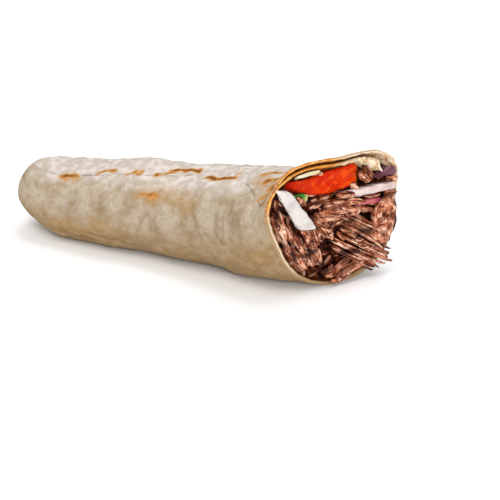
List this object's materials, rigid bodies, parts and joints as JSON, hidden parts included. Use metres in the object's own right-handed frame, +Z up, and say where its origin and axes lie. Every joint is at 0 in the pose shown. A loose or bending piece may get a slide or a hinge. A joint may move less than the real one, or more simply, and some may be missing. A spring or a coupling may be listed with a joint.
{
  "type": "kebab wrap half",
  "caption": "Half of a rolled flatbread wrap lying down, with a tucked end and a slanted cut that shows shredded meat, tomato and onion.",
  "frame": {"origin": "on the flat underside, below the wrap's middle, level with its axis", "axes": "+X along the wrap from the tucked end to the cut, -Y the side that the cut faces, +Z up"},
  "size_m": [0.1647, 0.0564, 0.0558],
  "materials": {
    "bread": "matte, floury, lightly toasted",
    "meat": "moist roasted meat",
    "tomato": "wet",
    "onion": "moist, slightly clear",
    "cucumber": "moist",
    "red_onion": "moist",
    "pink_onion": "moist"
  },
  "bodies": {
    "root": {"flatbread": "bread", "meat": "meat", "tomato_wedge": "tomato", "onion_strip_front": "onion", "onion_strip_back": "onion", "white_onion_piece": "onion", "cucumber_piece": "cucumber", "red_onion_piece": "red_onion", "pink_onion_strip": "pink_onion"}
  },
  "joints": []
}
